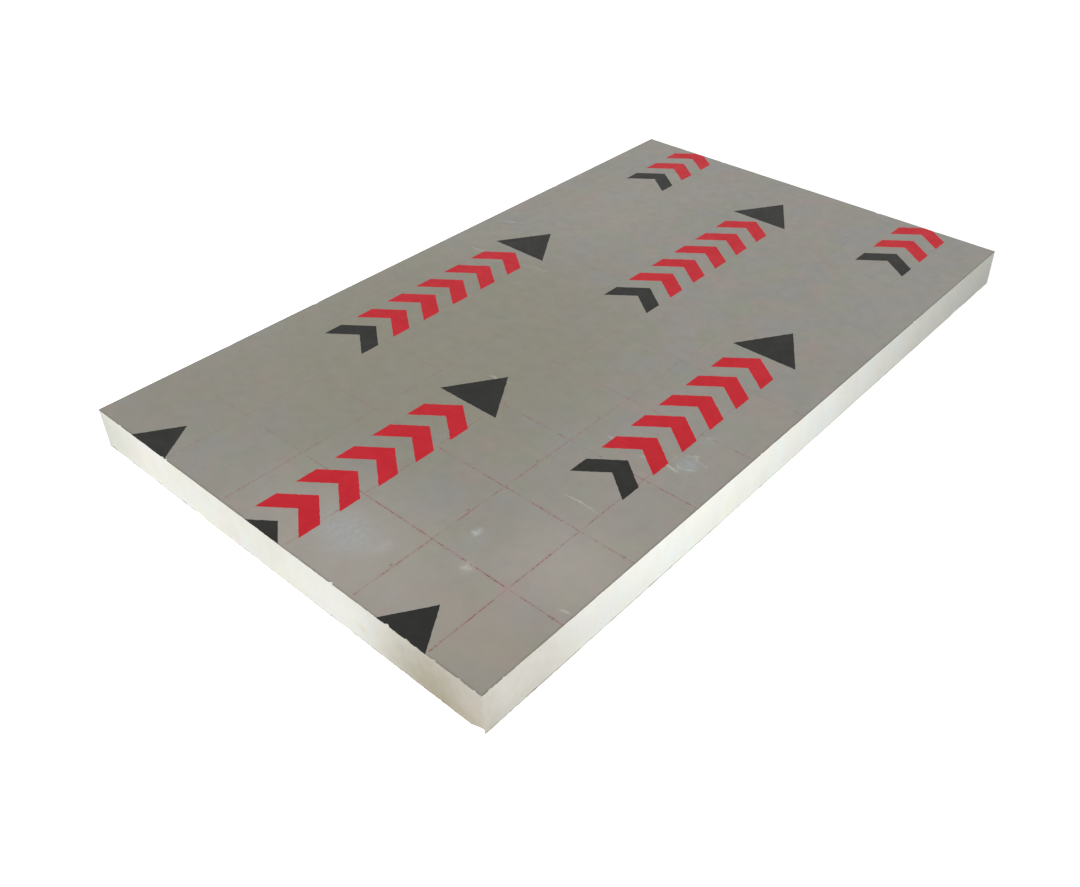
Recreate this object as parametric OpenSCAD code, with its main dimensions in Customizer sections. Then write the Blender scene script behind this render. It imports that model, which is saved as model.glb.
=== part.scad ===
// Foil-faced polyiso insulation board: a rigid foam core between two bonded facers,
// with square-cut edges, lying flat. One bottom corner is chipped from handling.
// The origin is at the middle of the bottom face, with the length along Y.

/* [Board] */
// Length of the board
board_length = 1000; // [500:50:2500]
// Width of the board
board_width = 600; // [300:50:1200]
// Thickness over both facers
board_thickness = 50; // [20:5:160]

/* [Facers] */
// Thickness of the foil laminate bonded to each face
facer_thickness = 0.2; // [0.1:0.05:0.5]

/* [Chipped corner] */
// How far the chip runs along the end of the board
chip_along_end = 18; // [5:1:60]
// How far the chip runs along the side of the board
chip_along_side = 5; // [2:1:60]
// How far the chip reaches up the corner
chip_height = 7; // [2:1:15]

/* [Hidden] */

half_length = board_length / 2;
half_width = board_width / 2;
core_thickness = board_thickness - 2 * facer_thickness;

// The chip is broken off along one slanting plane, given by its normal and its distance from the corner.
chip_normal = [1 / chip_along_end, -1 / chip_along_side, -1 / chip_height];
chip_tilt = acos(chip_normal[2] / norm(chip_normal));
chip_turn = atan2(chip_normal[1], chip_normal[0]);
chip_depth = 1 / norm(chip_normal);

// A layer of the board: its full outline from height z up, over a thickness.
module layer(z, thickness) {
    translate([-half_width, -half_length, z])
        cube([board_width, board_length, thickness]);
}

// All that lies outside the plane that the chip broke along.
module chip() {
    reach = 2 * max(chip_along_end, chip_along_side, chip_height);
    translate([half_width, -half_length, 0])
        rotate([0, chip_tilt, chip_turn])
            translate([-reach, -reach, -chip_depth])
                cube([2 * reach, 2 * reach, reach]);
}

module foam_core() {
    color([0.90, 0.89, 0.83])
        difference() {
            layer(facer_thickness, core_thickness);
            chip();
        }
}

module top_facer() {
    color([0.57, 0.56, 0.53])
        layer(board_thickness - facer_thickness, facer_thickness);
}

module bottom_facer() {
    color([0.57, 0.56, 0.53])
        difference() {
            layer(0, facer_thickness);
            chip();
        }
}

foam_core();
top_facer();
bottom_facer();
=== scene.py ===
"""Looks of a foil-faced polyiso insulation board: a sawn foam core between two bonded foil facers.
The top facer carries a faint red cutting grid and a generic print of laying arrows."""

import math
import random

import bpy
import numpy as np
from mathutils import Euler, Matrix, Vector, noise
from mathutils.geometry import delaunay_2d_cdt


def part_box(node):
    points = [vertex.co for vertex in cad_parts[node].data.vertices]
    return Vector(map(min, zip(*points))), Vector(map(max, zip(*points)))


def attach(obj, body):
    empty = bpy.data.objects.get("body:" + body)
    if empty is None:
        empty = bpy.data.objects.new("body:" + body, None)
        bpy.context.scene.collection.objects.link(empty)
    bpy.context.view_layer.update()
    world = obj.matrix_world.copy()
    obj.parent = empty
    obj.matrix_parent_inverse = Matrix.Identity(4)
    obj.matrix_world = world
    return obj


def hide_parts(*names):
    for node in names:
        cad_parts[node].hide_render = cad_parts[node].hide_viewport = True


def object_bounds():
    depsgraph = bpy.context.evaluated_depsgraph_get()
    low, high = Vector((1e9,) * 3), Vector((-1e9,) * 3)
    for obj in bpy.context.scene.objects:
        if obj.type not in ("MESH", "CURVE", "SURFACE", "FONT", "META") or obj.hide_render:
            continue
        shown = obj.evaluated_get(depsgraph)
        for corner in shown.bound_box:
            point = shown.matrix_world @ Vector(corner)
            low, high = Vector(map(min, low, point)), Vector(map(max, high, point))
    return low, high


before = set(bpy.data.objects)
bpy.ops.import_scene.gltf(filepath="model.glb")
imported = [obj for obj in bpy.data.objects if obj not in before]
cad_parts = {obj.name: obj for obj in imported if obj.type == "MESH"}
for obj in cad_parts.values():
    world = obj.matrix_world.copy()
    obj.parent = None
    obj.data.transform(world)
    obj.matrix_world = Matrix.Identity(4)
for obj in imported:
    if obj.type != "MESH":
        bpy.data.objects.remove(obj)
cad_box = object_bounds()

# Shapes are worked out in millimetres and scaled to metres when a mesh is made.
MM = 0.001
HALF_WIDTH, HALF_LENGTH, THICKNESS = (value / MM for value in cad_box[1])
FACER = (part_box("top_facer")[1].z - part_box("top_facer")[0].z) / MM

# Mesh spacing
SIDE_PITCH = 2.0
SIDE_ROWS = 29
FOIL_EDGE_PITCH = 1.0
SHEET_PITCH = 6.0
SHEET_MARGIN = 5.5

# The chip at the lower front corner, as in the core: its reach along the end, along the side and up
CHIP_ALONG_END = 18.0
CHIP_ALONG_SIDE = 5.0
CHIP_HEIGHT = 7.0
CHIP_ROUGHNESS = 0.9
# How far along the side the mesh is squeezed to make room for the chip
CHIP_SQUEEZE = 24.0

# Relief of the facers below the box: mean, long waves, short waves
RELIEF_MEAN = 0.34
LONG_WAVE, LONG_WAVE_SIZE = 0.16, 190.0
SHORT_WAVE, SHORT_WAVE_SIZE = 0.05, 30.0
BOTTOM_RELIEF = 0.3

# Creases of the top facer: both ends, height of the ridge, how bright the painted sheen along its crest is
CREASES = [
    ((180, -268), (234, -267), 0.26, 0.55),
    ((152, -169), (186, -162), 0.26, 0.60),
    ((204, -172), (221, -162), 0.22, 0.45),
    ((221, -162), (258, -168), 0.26, 0.65),
    ((280, -389), (298, -384), 0.32, 1.00),
    ((-267, 36), (-219, 40), 0.24, 0.55),
    ((-219, 40), (-178, 44), 0.26, 0.65),
    ((-178, 44), (-123, 56), 0.22, 0.45),
    ((-28, -170), (19, -164), 0.22, 0.45),
    ((-292, 115), (-238, 141), 0.22, 0.50),
    ((239, -102), (250, -98), 0.18, 0.60),
]
CREASE_HALF_WIDTH = 1.3

# Dents of the top facer: centre, radius, depth
DENTS = [
    ((158, -366), 11, 0.50),
    ((183, -405), 13, 0.60),
    ((250, -149), 15, 0.45),
    ((78, -444), 26, 0.35),
    ((-60, 210), 16, 0.35),
    ((-205, -300), 12, 0.30),
]

# Nicks in the top facer's edge: side, distance along it, width and depth.
# Sides run anticlockwise from the front end.
FRONT, RIGHT, BACK, LEFT = range(4)
NICKS = [
    (FRONT, 45, 5, 0.9),
    (FRONT, 128, 6, 1.3),
    (FRONT, 134, 3, 2.0),
    (FRONT, 405, 5, 2.2),
    (FRONT, 482, 5, 2.2),
    (FRONT, 509, 7, 1.3),
    (FRONT, 542, 5, 2.0),
    (FRONT, 573, 6, 1.4),
    (FRONT, 591, 4, 1.2),
    (RIGHT, 10, 5, 1.2),
    (RIGHT, 26, 4, 1.4),
    (RIGHT, 415, 4, 1.0),
    (RIGHT, 760, 5, 1.2),
    (BACK, 180, 7, 1.8),
    (BACK, 455, 5, 1.4),
    (LEFT, 240, 6, 1.6),
    (LEFT, 700, 8, 2.0),
]
# How ragged the cut is, and how much more so round the front corner, with the reach of that stretch
EDGE_RAGGEDNESS = 0.20
WORN_RAGGEDNESS = 1.0
WORN_CORNER, WORN_REACH = (300, -500), (330, 90)


def waves(points, size, octaves, shift):
    """Fractal noise, from about -1 to 1, at 3-D points in millimetres."""
    move = Vector((7.3, 3.1, 5.7)) * shift
    return np.array([noise.fractal(Vector(p) / size + move, 1.0, 2.0, octaves) for p in points])


def on_plan(points, z=0.0):
    """2-D points lifted to height z."""
    return np.column_stack([points, np.full(len(points), float(z))])


def walk_edges(pitch):
    """Points round the outline with a side's number, the distance along it and the inward direction at each."""
    corners = [Vector((x * HALF_WIDTH, y * HALF_LENGTH)) for x, y in ((-1, -1), (1, -1), (1, 1), (-1, 1))]
    places, sides, distances, inward = [], [], [], []
    for side, start in enumerate(corners):
        edge = corners[(side + 1) % 4] - start
        before = start - corners[side - 1]
        inner = Vector((-edge.y, edge.x)).normalized()
        inner_before = Vector((-before.y, before.x)).normalized()
        steps = round(edge.length / pitch)
        for step in range(steps):
            places.append(start + edge * step / steps)
            sides.append(side)
            distances.append(edge.length * step / steps)
            inward.append(inner + inner_before if step == 0 else inner)
    return np.array(places), np.array(sides), np.array(distances), np.array(inward)


def chip_share(x, z):
    """How far a point on the end face lies inside the chip: 1 at the board's corner, 0 at the chip's edge."""
    return np.clip(1 - (HALF_WIDTH - x) / CHIP_ALONG_END - z / CHIP_HEIGHT, 0, 1)


def break_chip(outline, sides, z):
    """Moves outline points at height z back to where the corner broke off."""
    moved = outline.copy()
    on_end = (sides == FRONT) | (np.abs(outline - (HALF_WIDTH, -HALF_LENGTH)).max(1) < 1e-6)
    moved[on_end, 1] += CHIP_ALONG_SIDE * chip_share(outline[on_end, 0], z)
    cut = CHIP_ALONG_SIDE * max(0.0, 1 - z / CHIP_HEIGHT)
    along = outline[:, 1] + HALF_LENGTH
    near = (sides == RIGHT) & (along > 0) & (along < CHIP_SQUEEZE)
    moved[near, 1] = -HALF_LENGTH + cut + along[near] * (CHIP_SQUEEZE - cut) / CHIP_SQUEEZE
    return moved


def distance_to(points, start, end):
    """Distance of 2-D points from a segment."""
    start, end = np.array(start, float), np.array(end, float)
    edge = end - start
    share = np.clip((points - start) @ edge / (edge @ edge), 0, 1)
    return np.linalg.norm(points - start - share[:, None] * edge, axis=1)


def facer_relief(points, shift):
    """Depth of a facer's outer surface below the box: long and short waves of the bonded foil."""
    depth = RELIEF_MEAN + LONG_WAVE * waves(on_plan(points), LONG_WAVE_SIZE, 2, shift)
    depth += SHORT_WAVE * waves(on_plan(points), SHORT_WAVE_SIZE, 2, shift + 1)
    from_edge = np.minimum(HALF_WIDTH - np.abs(points[:, 0]), HALF_LENGTH - np.abs(points[:, 1]))
    return depth * (0.35 + 0.65 * np.clip(from_edge / 60, 0, 1))


def top_height(points):
    """Height of the top facer's outer surface, with its creases and dents."""
    depth = facer_relief(points, 1)
    for start, end, height, _ in CREASES:
        away = distance_to(points, start, end)
        depth += height * (0.4 * np.exp(-(away / (4 * CREASE_HALF_WIDTH)) ** 2))
        depth -= height * np.exp(-(away / CREASE_HALF_WIDTH) ** 2)
    for centre, radius, dent in DENTS:
        away = np.linalg.norm(points - centre, axis=1)
        depth += dent * np.exp(-(away / (0.5 * radius)) ** 2)
    return THICKNESS - np.maximum(depth, 0)


def bottom_height(points):
    """Height of the bottom facer's outer surface. It lies flatter than the top one, pressed to the floor."""
    return np.maximum(BOTTOM_RELIEF * facer_relief(points, 5), 0)


def feature_points():
    """Extra plan points that let the sheets follow the creases and dents."""
    points = []
    for start, end, *_ in CREASES:
        start, end = Vector(start), Vector(end)
        across = (end - start).orthogonal().normalized()
        steps = round((end - start).length / 4)
        for step in range(steps + 1):
            middle = start.lerp(end, step / steps)
            points += [middle + across * CREASE_HALF_WIDTH * offset for offset in (-2.5, -1, 0, 1, 2.5)]
    for centre, radius, _ in DENTS:
        points.append(Vector(centre))
        for ring in range(1, 4):
            for turn in range(4 * ring):
                angle = math.tau * turn / (4 * ring)
                points.append(Vector(centre) + Vector((math.cos(angle), math.sin(angle))) * radius * ring / 3)
    points = np.array(points)
    room = (HALF_WIDTH - SHEET_MARGIN, HALF_LENGTH - SHEET_MARGIN)
    return points[(np.abs(points) < room).all(1)]


def inner_points():
    """Plan points inside the outline, in staggered rows, with the features' own points among them."""
    random.seed(4)
    features = feature_points()
    rows = round(2 * (HALF_LENGTH - SHEET_MARGIN) / (SHEET_PITCH * math.sqrt(0.75)))
    columns = round(2 * (HALF_WIDTH - SHEET_MARGIN) / SHEET_PITCH)
    points = []
    for row in range(rows + 1):
        for column in range(columns + 1 - row % 2):
            x = (2 * (column + 0.5 * (row % 2)) / columns - 1) * (HALF_WIDTH - SHEET_MARGIN)
            y = (2 * row / rows - 1) * (HALF_LENGTH - SHEET_MARGIN)
            jitter = Vector((random.uniform(-1, 1), random.uniform(-1, 1))) * 0.12 * SHEET_PITCH
            points.append((x + jitter.x, y + jitter.y))
    points = np.array(points)
    for feature in features:
        points = points[np.linalg.norm(points - feature, axis=1) > 0.45 * SHEET_PITCH]
    return np.vstack([points, features])


def fill(outline, inner):
    """Triangles over the outline's points followed by the inner ones, anticlockwise seen from above."""
    points = [Vector(p) for p in np.vstack([outline, inner])]
    loop = list(range(len(outline)))
    filled = delaunay_2d_cdt(points, [], [loop], 1, 1e-5)
    origin = [ids[0] if ids else None for ids in filled[3]]
    return [tuple(origin[i] for i in triangle) for triangle in filled[2]]


def make_piece(name, vertices, faces, material, sharp_angle):
    """A mesh object in the row frame from millimetre vertices; make_board later hangs it on the board's one body."""
    mesh = bpy.data.meshes.new(name)
    mesh.from_pydata((np.array(vertices) * MM).tolist(), [], faces)
    mesh.validate()
    mesh.polygons.foreach_set("use_smooth", [True] * len(mesh.polygons))
    mesh.set_sharp_from_angle(angle=sharp_angle)
    mesh.materials.append(material)
    piece = bpy.data.objects.new(name, mesh)
    bpy.context.scene.collection.objects.link(piece)
    return piece


def core_depth(points, outline, sides, z):
    """How far the sawn foam lies behind the facers' edge: saw waves, open cells and crumbled edges."""
    depth = 0.24 + 0.13 * waves(points, 60, 2, 9) + 0.05 * waves(points, 7, 2, 10)
    near_top = math.exp(-((THICKNESS - z) / 1.6) ** 2)
    near_bottom = math.exp(-(z / 1.6) ** 2)
    crumbs = np.clip(waves(points, 11, 3, 12) - 0.15, 0, None)
    depth += (1.5 * near_top + 0.8 * near_bottom) * crumbs
    depth += 0.22 * np.clip(waves(points, 3.5, 2, 13) - 0.25, 0, None)
    broken = (chip_share(outline[:, 0], z) > 0) & (sides == FRONT)
    depth += np.where(broken, CHIP_ROUGHNESS * np.abs(waves(points, 6, 3, 15)), 0)
    return np.clip(depth, 0.05, None)


def make_core(inner, material):
    """The foam: four sawn sides as a grid, with the top and bottom filled to meet the facers."""
    outline, sides, _, inward = walk_edges(SIDE_PITCH)
    rows = []
    for row in range(SIDE_ROWS):
        share = row / (SIDE_ROWS - 1)
        z = FACER + (THICKNESS - 2 * FACER) * share
        ring = break_chip(outline, sides, z)
        ring = ring + inward * core_depth(on_plan(outline, z), outline, sides, z)[:, None]
        floor = bottom_height(ring) + FACER
        ceiling = top_height(ring) - FACER
        rows.append(np.column_stack([ring, floor + (ceiling - floor) * share]))
    count = len(outline)
    vertices = np.vstack([*rows, np.column_stack([inner, top_height(inner) - FACER]),
                          np.column_stack([inner, bottom_height(inner) + FACER])])
    faces = []
    for row in range(SIDE_ROWS - 1):
        for step in range(count):
            after = (step + 1) % count
            faces.append((row * count + step, row * count + after, (row + 1) * count + after, (row + 1) * count + step))
    top_start = (SIDE_ROWS - 1) * count
    for triangle in fill(rows[-1][:, :2], inner):
        faces.append(tuple(top_start + i for i in triangle))
    skip = SIDE_ROWS * count + len(inner) - count
    for triangle in fill(rows[0][:, :2], inner):
        faces.append(tuple(i if i < count else i + skip for i in reversed(triangle)))
    return make_piece("sawn_foam_core", vertices, faces, material, math.radians(50))


def foil_outline(nicks, z):
    """A facer's cut edge: ragged, nicked, and broken at the chip."""
    outline, sides, distances, inward = walk_edges(FOIL_EDGE_PITCH)
    worn = np.clip(1 - np.linalg.norm((outline - WORN_CORNER) / np.array(WORN_REACH), axis=1), 0, 1)
    raggedness = EDGE_RAGGEDNESS + (WORN_RAGGEDNESS - EDGE_RAGGEDNESS) * np.sqrt(worn)
    depth = raggedness * np.abs(waves(on_plan(outline, z), 4, 3, 21))
    depth += 1.1 * np.clip(waves(on_plan(outline, z), 23, 2, 22) - 0.38, 0, None)
    for side, place, width, reach in nicks:
        away = np.abs(distances - place) / (0.5 * width)
        bite = reach * np.clip(1 - away ** 1.5, 0, None)
        depth += np.where(sides == side, bite * (1 + 0.5 * waves(on_plan(outline, z), 2.5, 2, 23)), 0)
    depth = np.clip(depth, 0, 0.8 * SHEET_MARGIN)
    return break_chip(outline, sides, z) + inward * depth[:, None]


def make_facer(name, outline, inner, outer_height, inward, material):
    """A foil facer: outer and inner sheets FACER apart, joined round the cut edge. inward is -1 on top, 1 below."""
    plan = np.vstack([outline, inner])
    outer = outer_height(plan)
    vertices = np.vstack([np.column_stack([plan, outer]), np.column_stack([plan, outer + inward * FACER])])
    triangles = fill(outline, inner)
    total, count = len(plan), len(outline)
    top, bottom = (0, total) if inward < 0 else (total, 0)
    faces = [tuple(top + i for i in triangle) for triangle in triangles]
    faces += [tuple(bottom + i for i in reversed(triangle)) for triangle in triangles]
    for step in range(count):
        after = (step + 1) % count
        faces.append((bottom + step, bottom + after, top + after, top + step))
    return make_piece(name, vertices, faces, material, math.radians(40))


class Shader:
    """A node material, with short calls for the nodes that the materials here share. Sizes are in millimetres."""

    def __init__(self, name):
        self.material = bpy.data.materials.new(name)
        self.material.use_nodes = True
        self.nodes = self.material.node_tree.nodes
        self.surface = self.nodes["Principled BSDF"]
        self.place = self.vector("MULTIPLY", self.add("ShaderNodeTexCoord").outputs["Object"], (1 / MM,) * 3)

    def add(self, kind, **settings):
        node = self.nodes.new(kind)
        for name, value in settings.items():
            setattr(node, name, value)
        return node

    def feed(self, socket, value):
        """Links value if it is a node's output, and otherwise writes it on the socket."""
        if isinstance(value, bpy.types.NodeSocket):
            self.material.node_tree.links.new(value, socket)
        else:
            socket.default_value = value

    def math(self, operation, *values, clamp=False):
        node = self.add("ShaderNodeMath", operation=operation, use_clamp=clamp)
        for socket, value in zip(node.inputs, values):
            self.feed(socket, value)
        return node.outputs[0]

    def vector(self, operation, *values):
        node = self.add("ShaderNodeVectorMath", operation=operation)
        for socket, value in zip(node.inputs, values):
            self.feed(socket, value)
        return node.outputs["Value" if operation in ("LENGTH", "DISTANCE") else "Vector"]

    def stretched(self, sizes):
        return self.vector("DIVIDE", self.place, sizes)

    def noise(self, size, detail=2.0, roughness=0.5, shift=0.0):
        """Noise from 0 to 1. size is a number or one for each axis."""
        sizes = (size,) * 3 if isinstance(size, (int, float)) else size
        node = self.add("ShaderNodeTexNoise")
        self.feed(node.inputs["Vector"], self.vector("ADD", self.stretched(sizes), (shift, 2 * shift, 3 * shift)))
        self.feed(node.inputs["Scale"], 1.0)
        self.feed(node.inputs["Detail"], detail)
        self.feed(node.inputs["Roughness"], roughness)
        return node.outputs["Fac"]

    def cells(self, size, feature="F1"):
        node = self.add("ShaderNodeTexVoronoi", feature=feature)
        self.feed(node.inputs["Vector"], self.stretched((size,) * 3))
        self.feed(node.inputs["Scale"], 1.0)
        return node.outputs["Distance"]

    def ramp(self, value, low, high, to_low=0.0, to_high=1.0):
        """A smooth step from low to high."""
        node = self.add("ShaderNodeMapRange", interpolation_type="SMOOTHSTEP")
        for name, number in (("Value", value), ("From Min", low), ("From Max", high),
                             ("To Min", to_low), ("To Max", to_high)):
            self.feed(node.inputs[name], number)
        return node.outputs["Result"]

    def mix(self, share, first, second):
        """Colour first where share is 0 and second where it is 1."""
        node = self.add("ShaderNodeMix", data_type="RGBA")
        for socket, value in ((0, share), (6, first), (7, second)):
            self.feed(node.inputs[socket], value)
        return node.outputs[2]

    def wander(self, size, reach):
        """The place, shifted by up to about reach by noise of a size, so that what follows it wavers."""
        node = self.add("ShaderNodeTexNoise")
        self.feed(node.inputs["Vector"], self.stretched((size,) * 3))
        self.feed(node.inputs["Scale"], 1.0)
        shift = self.vector("SUBTRACT", node.outputs["Color"], (0.5, 0.5, 0.5))
        return self.vector("ADD", self.place, self.vector("MULTIPLY", shift, (4 * reach, 4 * reach, 0)))

    def spot(self, centre, radii, softness=1.0, place=None):
        """1 at centre, falling to 0 at radii from it."""
        offset = self.vector("DIVIDE", self.vector("SUBTRACT", place or self.place, centre), radii)
        return self.ramp(self.vector("LENGTH", offset), 1.0, 1.0 - softness)

    def streak(self, place, start, end, half_width):
        """1 along a line over the board, falling to 0 at half_width beside it and a little past its ends."""
        start, end = Vector(start), Vector(end)
        local = self.add("ShaderNodeMapping", vector_type="TEXTURE")
        self.feed(local.inputs["Vector"], place)
        local.inputs["Location"].default_value = (*((start + end) / 2), 0)
        local.inputs["Rotation"].default_value = (0, 0, math.atan2(end.y - start.y, end.x - start.x))
        local.inputs["Scale"].default_value = (0.55 * (end - start).length, half_width, 1)
        flat = self.vector("MULTIPLY", local.outputs["Vector"], (1, 1, 0))
        return self.ramp(self.vector("LENGTH", flat), 1.0, 0.2)

    def bump(self, height, distance, strength=1.0, normal=None):
        node = self.add("ShaderNodeBump")
        self.feed(node.inputs["Height"], height)
        node.inputs["Distance"].default_value = distance * MM
        node.inputs["Strength"].default_value = strength
        if normal is not None:
            self.feed(node.inputs["Normal"], normal)
        return node.outputs["Normal"]


def colour(red, green, blue):
    """A display colour, 0 to 255, as the linear one that nodes take."""
    def linear(value):
        share = value / 255
        return share / 12.92 if share <= 0.04045 else ((share + 0.055) / 1.055) ** 2.4
    return linear(red), linear(green), linear(blue), 1.0


# Patches of colour on the foam, mostly stains, with painted shade in the last two: centre, radii, softness of the rim,
# strength, colour
STAINS_AND_SHADE = [
    # Darker toward the front right corner, on both faces
    ((300, -500, 25), (125, 165, 110), 0.6, 0.75, (209, 203, 192)),
    ((232, -500, 12), (112, 40, 85), 1.0, 0.78, (174, 165, 143)),
    ((288, -500, 24), (32, 30, 60), 1.0, 0.50, (209, 198, 184)),
    ((300, -345, 25), (60, 75, 60), 1.0, 0.35, (218, 219, 214)),
    ((139, -500, 20), (13, 12, 10), 1.0, 0.45, (226, 222, 190)),
    ((145, -500, 17), (9, 12, 8), 1.0, 0.60, (232, 206, 176)),
    # Lighter on the front end, toward its middle
    ((95, -500, 25), (105, 60, 60), 1.0, 0.60, (250, 250, 246)),
    ((265, -500, 6), (60, 30, 14), 1.0, 0.35, (178, 170, 140)),
    # Painted shade: the left corner of the front end, greyer where less light falls
    ((-300, -500, 25), (110, 60, 90), 1.0, 0.75, (202, 205, 195)),
    # Painted shade: the far end of the right side, darker as the light falls off along it
    ((300, 440, 22), (60, 330, 90), 1.0, 0.22, (206, 208, 198)),
]


# Faint tints of the foam: size, shift of the noise, colour
FOAM_TINTS = [
    (27, 31, (244, 243, 227)),
    (22, 33, (242, 235, 232)),
    (34, 35, (235, 242, 239)),
]


def foam_material():
    """Sawn rigid foam: cream, finely cellular and matt, with faint saw streaks, a few stains, painted shade and a
    darker foot.
    """
    foam = Shader("sawn_polyiso")
    tone = foam.mix(foam.noise(42, 3, 0.55), colour(243, 242, 233), colour(233, 232, 222))
    for size, shift, tint in FOAM_TINTS:
        tone = foam.mix(foam.ramp(foam.noise(size, 2, 0.5, shift), 0.42, 0.72, 0.0, 0.55), tone, colour(*tint))
    streaks = foam.ramp(foam.noise((7, 7, 34), 3, 0.6, 3), 0.45, 0.80, 0.0, 0.20)
    tone = foam.mix(streaks, tone, colour(222, 219, 206))
    pores = foam.ramp(foam.cells(1.5), 0.55, 0.95, 0.0, 0.12)
    tone = foam.mix(pores, tone, colour(188, 180, 158))

    broken = foam.noise(9, 4, 0.6, 7)
    # Stains, and painted shade at the left corner and the far end of the right side
    for centre, radii, softness, strength, patch_colour in STAINS_AND_SHADE:
        share = foam.math("MULTIPLY", foam.spot(centre, radii, softness), foam.ramp(broken, 0.2, 0.7, 0.8, 1.0))
        tone = foam.mix(foam.math("MULTIPLY", share, strength), tone, colour(*patch_colour))

    # Darker along the foot, within about 2 mm of the bottom, toward the front right corner
    axes = foam.add("ShaderNodeSeparateXYZ")
    foam.feed(axes.inputs[0], foam.place)
    foot = foam.math("MULTIPLY", foam.ramp(axes.outputs["Z"], 2.2, 0.6), foam.ramp(broken, 0.35, 0.65, 0.1, 0.6))
    near = foam.spot((290, -500, 0), (330, 420, 60))
    tone = foam.mix(foam.math("MULTIPLY", foot, near), tone, colour(140, 136, 124))

    foam.feed(foam.surface.inputs["Base Color"], tone)
    foam.feed(foam.surface.inputs["Roughness"], foam.ramp(broken, 0.3, 0.7, 0.86, 0.96))
    foam.surface.inputs["Specular IOR Level"].default_value = 0.25
    streaks = foam.bump(foam.noise((3.0, 3.0, 26), 2, 0.5, 5), 0.12, 0.4)
    cells = foam.bump(foam.cells(1.5), 0.25, 0.45, streaks)
    foam.feed(foam.surface.inputs["Normal"], foam.bump(foam.noise(0.7, 3, 0.6, 9), 0.12, 0.45, cells))
    return foam.material


# Print of the top facer: straight lanes of laying arrows, each a black tail, red chevrons and a black head
LANE_PITCH = 200.0
ARROW_SPACING = 590.0
ARROW_START = -556.0
CHEVRON_PITCH = 50.0
CHEVRON_SHARE = 0.52
CHEVRONS = 6
CHEVRON_SLOPE = 0.75
ARROW_HALF_WIDTH = 35.0
HEAD_LENGTH = 66.0
HEAD_HALF_WIDTH = 44.0
HEAD_GAP = 7.0


def arrow_marks(foil):
    """Shares of black and red ink. The lanes' arrows are staggered by half their spacing."""
    axes = foil.add("ShaderNodeSeparateXYZ")
    foil.feed(axes.inputs[0], foil.wander(5, 0.35))
    lane_place = foil.math("ADD", foil.math("DIVIDE", axes.outputs["X"], LANE_PITCH), 0.5)
    lane = foil.math("FLOOR", lane_place)
    across = foil.math("SUBTRACT", foil.math("SUBTRACT", lane_place, lane), 0.5)
    across = foil.math("ABSOLUTE", foil.math("MULTIPLY", across, LANE_PITCH))
    from_start = foil.math("SUBTRACT", axes.outputs["Y"], ARROW_START)
    along = foil.math("MULTIPLY_ADD", lane, 0.5 * ARROW_SPACING, from_start)
    along = foil.math("SUBTRACT", foil.math("FLOORED_MODULO", along, ARROW_SPACING), CHEVRON_PITCH)

    front = foil.math("DIVIDE", foil.math("MULTIPLY_ADD", across, CHEVRON_SLOPE, along), CHEVRON_PITCH)
    number = foil.math("FLOOR", front)
    bar = foil.math("LESS_THAN", foil.math("FRACT", front), CHEVRON_SHARE)
    bar = foil.math("MULTIPLY", bar, foil.math("LESS_THAN", across, ARROW_HALF_WIDTH))
    bar = foil.math("MULTIPLY", bar, foil.math("GREATER_THAN", number, -0.5))
    bar = foil.math("MULTIPLY", bar, foil.math("LESS_THAN", number, CHEVRONS - 0.5))
    tail = foil.math("LESS_THAN", number, 0.5)

    last_tip = CHEVRON_PITCH * (CHEVRONS - 1 + CHEVRON_SHARE)
    past_base = foil.math("SUBTRACT", along, last_tip + HEAD_GAP)
    narrowing = foil.math("MULTIPLY_ADD", past_base, -HEAD_HALF_WIDTH / HEAD_LENGTH, HEAD_HALF_WIDTH)
    head = foil.math("MULTIPLY", foil.math("GREATER_THAN", past_base, 0.0),
                     foil.math("LESS_THAN", across, narrowing))
    black = foil.math("MAXIMUM", head, foil.math("MULTIPLY", bar, tail))
    return black, foil.math("MULTIPLY", bar, foil.math("SUBTRACT", 1.0, black))


# Cutting grid of the top facer, and the small dots that go with it, one in each row of the grid
GRID_PITCH = 100.0
GRID_SHIFT = (32.0, 1.0)
GRID_LINE = 1.3
GRID_BLEED = 3.2
GRID_INK, GRID_BLEED_INK = (120, 70, 62), (166, 138, 136)
GRID_MARGIN = 4.0
DOT_COLUMNS = [(287.0, 0.0), (129.0, 51.0)]
DOT_RADIUS = 2.6
PINK_CROSSING = (232, -399)
PINK_RADIUS = 18


def from_lattice(foil, value, shift):
    """Distance of a coordinate from the nearest line of the grid."""
    cells = foil.math("DIVIDE", foil.math("SUBTRACT", value, shift), GRID_PITCH)
    away = foil.math("ABSOLUTE", foil.math("SUBTRACT", cells, foil.math("ROUND", cells)))
    return foil.math("MULTIPLY", away, GRID_PITCH)


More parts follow.
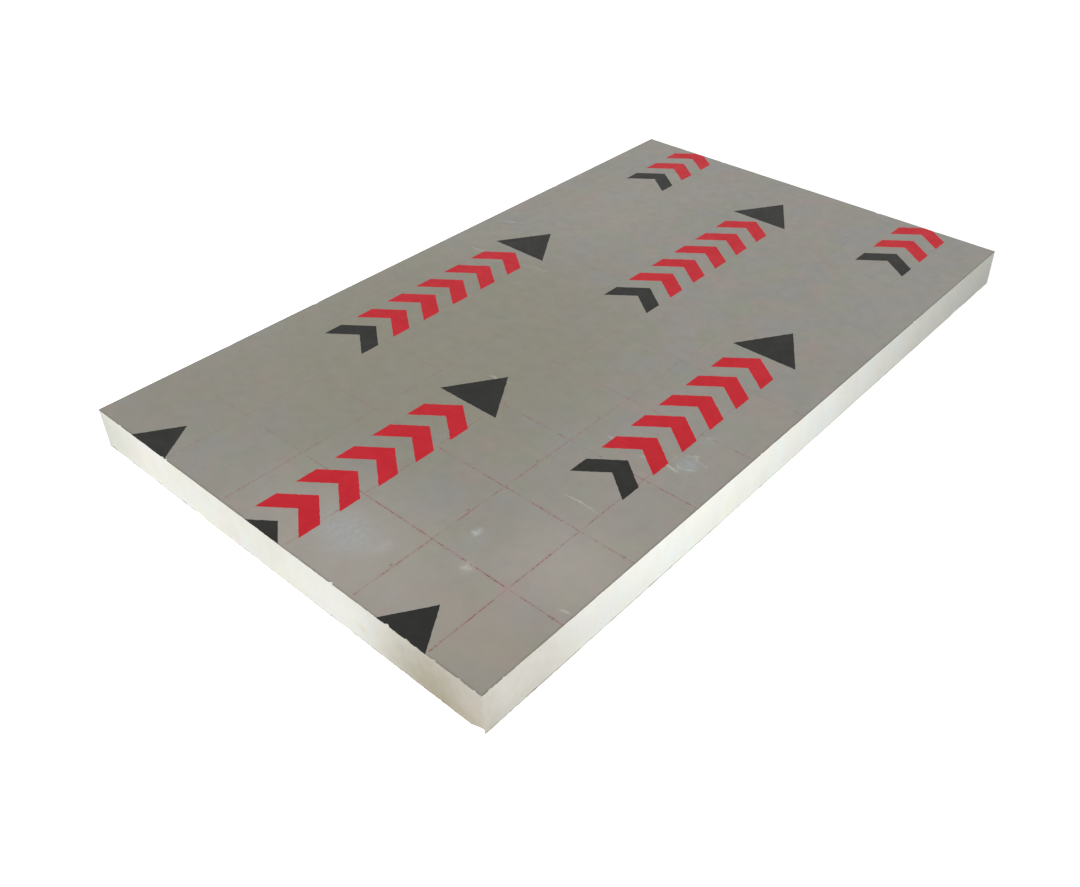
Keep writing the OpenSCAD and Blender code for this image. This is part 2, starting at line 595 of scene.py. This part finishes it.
def grid_marks(foil):
    """Shares of the fine red grid, broken into dots and worn away in places, and of the bleed beside it.

    Both are strongest near the front corner."""
    axes = foil.add("ShaderNodeSeparateXYZ")
    foil.feed(axes.inputs[0], foil.wander(9, 0.25))
    away = [from_lattice(foil, axes.outputs[name], shift) for name, shift in zip("XY", GRID_SHIFT)]
    nearest = foil.math("MINIMUM", *away)
    grid = foil.ramp(nearest, 0.5 * GRID_LINE + 0.3, 0.5 * GRID_LINE - 0.3)
    grid = foil.math("MULTIPLY", grid, foil.ramp(foil.noise(3.6, 2, 0.6, 27), 0.42, 0.58, 0.20, 1.0))
    worn = foil.ramp(foil.noise(26, 4, 0.65, 11), 0.38, 0.58, 0.25, 1.0)
    grid = foil.math("MULTIPLY", grid, worn)
    bleed = foil.math("MULTIPLY", foil.ramp(nearest, GRID_BLEED, 0.0), worn)

    for column, shift in DOT_COLUMNS:
        from_dots = foil.add("ShaderNodeCombineXYZ")
        foil.feed(from_dots.inputs["X"], foil.math("SUBTRACT", axes.outputs["X"], column))
        foil.feed(from_dots.inputs["Y"], from_lattice(foil, axes.outputs["Y"], GRID_SHIFT[1] + shift))
        dots = foil.ramp(foil.vector("LENGTH", from_dots.outputs[0]), DOT_RADIUS, 0.3 * DOT_RADIUS)
        grid = foil.math("MAXIMUM", grid, foil.math("MULTIPLY", dots, 0.55))

    near = foil.vector("DISTANCE", foil.place, (300, -480, THICKNESS))
    from_middle = foil.math("ABSOLUTE", axes.outputs["Y"])
    inside = foil.math("LESS_THAN", from_middle, HALF_LENGTH - GRID_MARGIN)
    kept = foil.math("MULTIPLY", foil.ramp(near, 620, 160, 0.18, 1.0), inside)
    return foil.math("MULTIPLY", grid, kept), foil.math("MULTIPLY", bleed, kept)


FOIL_METALLIC = 0.85

# Faint tints of the foil, as thin lacquer gives: size, shift of the noise, colour
FOIL_TINTS = [
    (34, 41, (158, 145, 139)),
    (42, 43, (145, 149, 133)),
    (55, 45, (146, 146, 145)),
]


def foil_tone(foil):
    """Colour of the bare matt foil: faintly mottled and tinted, with rolling streaks along the board."""
    tone = foil.mix(foil.noise(120, 3, 0.5, 1), colour(151, 147, 138), colour(145, 144, 136))
    for size, shift, tint in FOIL_TINTS:
        tone = foil.mix(foil.ramp(foil.noise(size, 2, 0.5, shift), 0.42, 0.72, 0.0, 0.75), tone, colour(*tint))
    tone = foil.mix(foil.ramp(foil.noise(18, 4, 0.6, 2), 0.3, 0.8, 0.0, 0.35), tone, colour(152, 149, 141))
    streaks = foil.ramp(foil.noise((2.0, 60, 20), 3, 0.6, 4), 0.45, 0.8, 0.0, 0.25)
    return foil.mix(streaks, tone, colour(140, 137, 129))


def finish_foil(foil, tone, ink):
    """Feeds the foil's colour and gives it its sheen and fine crinkles. Ink is a little duller."""
    foil.feed(foil.surface.inputs["Base Color"], tone)
    foil.surface.inputs["Metallic"].default_value = FOIL_METALLIC
    roughness = foil.ramp(foil.noise(14, 4, 0.6, 21), 0.25, 0.75, 0.40, 0.52)
    foil.feed(foil.surface.inputs["Roughness"], foil.math("MULTIPLY_ADD", ink, 0.10, roughness))
    crinkle = foil.bump(foil.noise(9, 4, 0.55, 23), 0.25, 0.35)
    grain = foil.bump(foil.noise((0.8, 5, 2), 2, 0.5, 25), 0.04, 0.5, crinkle)
    foil.feed(foil.surface.inputs["Normal"], grain)


# Rubbed places of the top facer: centre, radii, strength, colour
SCUFFS = [
    ((164, -374), (19, 22), 0.45, (158, 162, 164)),
    ((157, -364), (8, 10), 0.80, (190, 194, 190)),
    ((183, -407), (16, 16), 0.40, (170, 170, 166)),
    ((183, -404), (10, 9), 0.75, (192, 185, 181)),
    ((252, -150), (18, 19), 0.80, (164, 172, 174)),
    ((245, -104), (14, 14), 0.45, (152, 163, 152)),
    ((64, -446), (60, 42), 0.85, (167, 171, 174)),
    ((104, -436), (12, 16), 0.50, (178, 176, 174)),
]
# A curved scuff, as a ring that is rubbed more on some sides: centre, radius, width
RING_CENTRE, RING_RADIUS, RING_WIDTH = (250, -150), 13.0, 6.0
# Half width of the painted sheen along the creases' crests, and the colour of that sheen and of the rubbed ring
CREST_WIDTH = 2.2
SCUFF_AND_SHEEN = (198, 200, 196)
# Broad changes of tone: centre, radii, softness of the rim, strength, colour
TONES = [
    ((-110, -160), (300, 340), 0.6, 0.60, (141, 138, 121)),
    ((85, -468), (235, 150), 1.0, 0.75, (168, 161, 152)),
    ((250, -200), (175, 290), 1.0, 0.50, (158, 152, 145)),
    ((255, -345), (120, 110), 1.0, 0.50, (176, 168, 159)),
    ((-270, -430), (150, 160), 1.0, 0.55, (142, 138, 126)),
    ((250, -460), (95, 75), 1.0, 0.60, (163, 153, 139)),
    ((270, 290), (130, 220), 1.0, 0.45, (151, 150, 146)),
    ((-170, 270), (130, 230), 1.0, 0.50, (156, 152, 142)),
]
# The foil's cut edge is darker, over a narrow and uneven strip
EDGE_SHADE, EDGE_SHADE_WIDTH = (112, 110, 102), 3.0


def scuffed(foil, tone):
    """The foil's colour with its scuffs, each an uneven smear of fine rubbed flecks."""
    place = foil.wander(11, 2.2)
    flecks = foil.ramp(foil.noise(4.5, 4, 0.7, 15), 0.36, 0.62, 0.35, 1.0)
    for centre, radii, strength, shade in SCUFFS:
        share = foil.math("MULTIPLY", foil.spot((*centre, THICKNESS), (*radii, 40), place=place), strength)
        tone = foil.mix(foil.math("MULTIPLY", share, flecks), tone, colour(*shade))
    return tone


def edge_share(foil):
    """1 at the facer's cut edge, falling to 0 inside it."""
    axes = foil.add("ShaderNodeSeparateXYZ")
    foil.feed(axes.inputs[0], foil.wander(12, 0.5))
    reach = ((axes.outputs["X"], HALF_WIDTH), (axes.outputs["Y"], HALF_LENGTH))
    from_edges = [foil.math("SUBTRACT", half, foil.math("ABSOLUTE", value)) for value, half in reach]
    return foil.ramp(foil.math("MINIMUM", *from_edges), EDGE_SHADE_WIDTH, 0.0)


def scuff_and_sheen_share(foil):
    """How far the foil is made brighter: rubbed round the curved scuff, and painted sheen along the creases' crests."""
    share = 0.0
    wavy = foil.wander(14, 1.6)
    patchy = foil.ramp(foil.noise(8, 3, 0.6, 49), 0.35, 0.60, 0.25, 1.0)
    for start, end, _, strength in CREASES:
        crest_sheen = foil.math("MULTIPLY", foil.streak(wavy, start, end, CREST_WIDTH), strength)
        share = foil.math("MAXIMUM", share, foil.math("MULTIPLY", crest_sheen, patchy))
    from_ring = foil.vector("DISTANCE", foil.wander(22, 8), (*RING_CENTRE, THICKNESS))
    from_ring = foil.math("ABSOLUTE", foil.math("SUBTRACT", from_ring, RING_RADIUS))
    ring = foil.math("MULTIPLY", foil.ramp(from_ring, 0.5 * RING_WIDTH, 0.0),
                     foil.ramp(foil.noise(9, 3, 0.6, 47), 0.42, 0.62, 0.0, 0.50))
    return foil.math("MAXIMUM", share, ring)


def print_facer_material():
    """The top facer: matt foil with its grid, its print, scuffs, a rubbed ring and painted sheen along its creases."""
    foil = Shader("printed_foil")
    tone = foil_tone(foil)
    for centre, radii, softness, strength, shade in TONES:
        share = foil.math("MULTIPLY", foil.spot((*centre, THICKNESS), (*radii, 400), softness), strength)
        tone = foil.mix(share, tone, colour(*shade))
    tone = foil.mix(foil.math("MULTIPLY", edge_share(foil), 0.5), tone, colour(*EDGE_SHADE))
    pink = foil.spot((*PINK_CROSSING, THICKNESS), (PINK_RADIUS, PINK_RADIUS, 40))
    tone = foil.mix(foil.math("MULTIPLY", pink, 0.40), tone, colour(172, 146, 152))
    grid, bleed = grid_marks(foil)
    tone = foil.mix(foil.math("MULTIPLY", bleed, 0.45), tone, colour(*GRID_BLEED_INK))
    tone = foil.mix(foil.math("MULTIPLY", grid, 0.75), tone, colour(*GRID_INK))
    tone = scuffed(foil, tone)
    # The rubbed ring, and painted sheen along the creases' crests
    smear = foil.ramp(foil.noise(6, 4, 0.65, 15), 0.3, 0.65, 0.3, 1.0)
    tone = foil.mix(foil.math("MULTIPLY", scuff_and_sheen_share(foil), smear), tone, colour(*SCUFF_AND_SHEEN))
    black, red = arrow_marks(foil)
    voids = foil.ramp(foil.noise(1.6, 3, 0.7, 17), 0.22, 0.30)
    black, red = foil.math("MULTIPLY", black, voids), foil.math("MULTIPLY", red, voids)
    patchy = foil.noise(30, 3, 0.5, 19)
    tone = foil.mix(red, tone, foil.mix(patchy, colour(206, 36, 50), colour(192, 34, 46)))
    tone = foil.mix(black, tone, foil.mix(patchy, colour(52, 52, 50), colour(44, 44, 42)))
    finish_foil(foil, tone, foil.math("MAXIMUM", black, red))
    return foil.material


def plain_facer_material():
    """The bottom facer: the same matt foil without print."""
    foil = Shader("plain_foil")
    finish_foil(foil, foil_tone(foil), 0.0)
    return foil.material


def seen_share(tree):
    """1 for camera, glossy and transmission rays, and 0 for the rays that light the board."""
    path = tree.nodes.new("ShaderNodeLightPath")
    share = path.outputs["Is Camera Ray"]
    for name in ("Is Glossy Ray", "Is Transmission Ray"):
        most = tree.nodes.new("ShaderNodeMath")
        most.operation = "MAXIMUM"
        tree.links.new(share, most.inputs[0])
        tree.links.new(path.outputs[name], most.inputs[1])
        share = most.outputs[0]
    return share


def make_world():
    """White to the eye and in reflections, and a level soft light on everything."""
    world = bpy.data.worlds.new("studio")
    bpy.context.scene.world = world
    world.use_nodes = True
    tree = world.node_tree
    tree.nodes.clear()
    soft, white = (tree.nodes.new("ShaderNodeBackground") for _ in range(2))
    soft.inputs["Strength"].default_value = SKY_LIGHT
    white.inputs["Strength"].default_value = 1.0
    for background in (soft, white):
        background.inputs["Color"].default_value = (1, 1, 1, 1)
    mix = tree.nodes.new("ShaderNodeMixShader")
    tree.links.new(seen_share(tree), mix.inputs["Fac"])
    tree.links.new(soft.outputs[0], mix.inputs[1])
    tree.links.new(white.outputs[0], mix.inputs[2])
    tree.links.new(mix.outputs[0], tree.nodes.new("ShaderNodeOutputWorld").inputs["Surface"])


def make_floor():
    """A pale floor that shows nearly white and keeps a soft shadow of the board."""
    mesh = bpy.data.meshes.new("floor")
    corners = [(x * FLOOR_REACH, y * FLOOR_REACH, -FLOOR_GAP) for x, y in ((-1, -1), (1, -1), (1, 1), (-1, 1))]
    mesh.from_pydata(corners, [], [(0, 1, 2, 3)])
    floor = bpy.data.objects.new("floor", mesh)
    bpy.context.scene.collection.objects.link(floor)
    material = bpy.data.materials.new("pale_floor")
    material.use_nodes = True
    tree = material.node_tree
    tree.nodes.clear()
    lit = tree.nodes.new("ShaderNodeBsdfDiffuse")
    lit.inputs["Color"].default_value = (FLOOR_SHADE,) * 3 + (1,)
    white = tree.nodes.new("ShaderNodeEmission")
    strength = tree.nodes.new("ShaderNodeMath")
    strength.operation = "MULTIPLY"
    strength.inputs[1].default_value = FLOOR_GLOW
    tree.links.new(seen_share(tree), strength.inputs[0])
    tree.links.new(strength.outputs[0], white.inputs["Strength"])
    both = tree.nodes.new("ShaderNodeAddShader")
    tree.links.new(lit.outputs[0], both.inputs[0])
    tree.links.new(white.outputs[0], both.inputs[1])
    tree.links.new(both.outputs[0], tree.nodes.new("ShaderNodeOutputMaterial").inputs["Surface"])
    mesh.materials.append(material)


def make_lamp(name, place, target, size, watts, tint):
    """A soft square lamp at place, turned to target. The foil mirrors the white studio, and not the lamp."""
    lamp = bpy.data.lights.new(name, "AREA")
    lamp.shape = "SQUARE"
    lamp.size = size
    lamp.energy = watts
    lamp.color = tint
    light = bpy.data.objects.new(name, lamp)
    light.location = place
    light.visible_glossy = False
    light.rotation_euler = (Vector(target) - Vector(place)).to_track_quat("-Z", "Y").to_euler()
    bpy.context.scene.collection.objects.link(light)


# Light and floor
SKY_LIGHT = 0.34
FLOOR_REACH = 15.0
FLOOR_GAP = 0.0001
FLOOR_SHADE = 0.80
FLOOR_GLOW = 0.69

# Camera: what it looks at, from where, and its lens. The picture is 1080 x 887 pixels.
PICTURE_WIDTH, PICTURE_HEIGHT = 1080, 887
FOCAL_PIXELS = 1078.2
CENTRE_PIXEL = (580.8, 403.4)
CAMERA_TARGET = (0.0755, -0.1161, 0.025)
CAMERA_AZIMUTH = math.radians(40.789)
CAMERA_ELEVATION = math.radians(36.427)
CAMERA_DISTANCE = 1.2468
SENSOR_WIDTH = 36.0


def make_camera():
    """The photograph's view, as found from the board's corners."""
    data = bpy.data.cameras.new("camera")
    data.sensor_fit = "HORIZONTAL"
    data.sensor_width = SENSOR_WIDTH
    data.lens = FOCAL_PIXELS / PICTURE_WIDTH * SENSOR_WIDTH
    data.shift_x = (PICTURE_WIDTH / 2 - CENTRE_PIXEL[0]) / PICTURE_WIDTH
    data.shift_y = (CENTRE_PIXEL[1] - PICTURE_HEIGHT / 2) / PICTURE_WIDTH
    camera = bpy.data.objects.new("camera", data)
    level = math.cos(CAMERA_ELEVATION)
    direction = Vector((math.sin(CAMERA_AZIMUTH) * level, -math.cos(CAMERA_AZIMUTH) * level,
                        math.sin(CAMERA_ELEVATION)))
    camera.location = Vector(CAMERA_TARGET) + CAMERA_DISTANCE * direction
    camera.rotation_euler = Euler((math.pi / 2 - CAMERA_ELEVATION, 0, CAMERA_AZIMUTH))
    bpy.context.scene.collection.objects.link(camera)
    bpy.context.scene.camera = camera


def make_board():
    """The three layers, each standing for its CAD node."""
    inner = inner_points()
    core = make_core(inner, foam_material())
    top = make_facer("printed_top_facer", foil_outline(NICKS, THICKNESS), inner, top_height, -1,
                     print_facer_material())
    bottom = make_facer("plain_bottom_facer", foil_outline([], 0.0), inner, bottom_height, 1,
                        plain_facer_material())
    for piece, node, slot in ((core, "foam_core", "polyiso_foam"), (top, "top_facer", "foil_facer"),
                              (bottom, "bottom_facer", "foil_facer")):
        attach(piece, "root")
        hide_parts(node)


make_camera()
make_world()
make_floor()
make_lamp("left_softbox", (-1.5, -2.2, 1.7), (0, -0.2, 0), 1.8, 64, (1.0, 1.0, 1.0))
make_lamp("right_softbox", (0.95, -0.22, 0.28), (0.3, -0.22, 0), 0.4, 3.25, (0.95, 0.98, 1.0))
make_board()
bpy.context.scene.view_settings.view_transform = "Standard"
